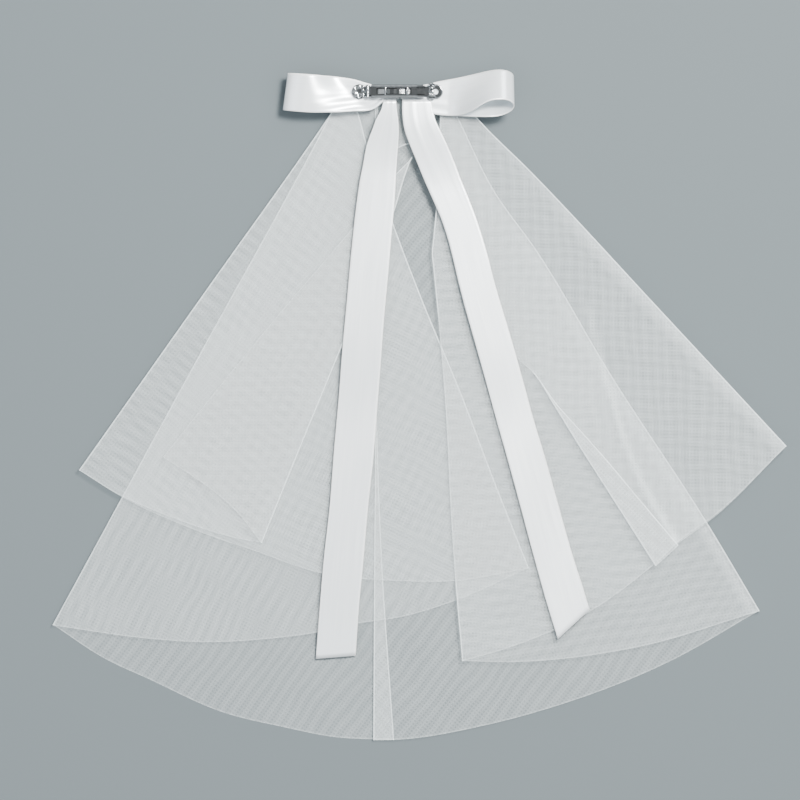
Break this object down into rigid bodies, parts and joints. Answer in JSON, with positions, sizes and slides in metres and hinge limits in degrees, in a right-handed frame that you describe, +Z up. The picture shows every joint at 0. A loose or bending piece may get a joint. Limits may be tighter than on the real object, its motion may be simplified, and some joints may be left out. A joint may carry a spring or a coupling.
{
  "type": "bridal bow veil on a barrette",
  "caption": "Short bridal veil of zigzag-folded tulle lying flat, gathered under a satin ribbon bow with hanging tails and a hinged steel barrette.",
  "frame": {"origin": "on the surface it lies on, below the middle of the whole part", "axes": "+X across the veil, +Y from the hem to the bow, +Z up from the surface"},
  "size_m": [0.4696, 0.429, 0.0307],
  "materials": {
    "tulle": "sheer cool white tulle",
    "satin": "glossy cool white satin ribbon",
    "steel": "bright plated steel"
  },
  "bodies": {
    "veil": {"tulle_veil": "tulle", "tail_left": "satin", "tail_right": "satin", "bow_loop_left": "satin", "bow_loop_right": "satin", "barrette_base": "steel", "spring_strip": "steel"},
    "bar": {"locking_bar": "steel"}
  },
  "joints": [
    {"name": "locking_bar_hinge", "type": "hinge", "parent": "veil", "child": "bar", "pos_m": [-0.0327, 0.20016, 0.0187], "axis": [0, -1, 0], "range_deg": [0, 75]}
  ]
}
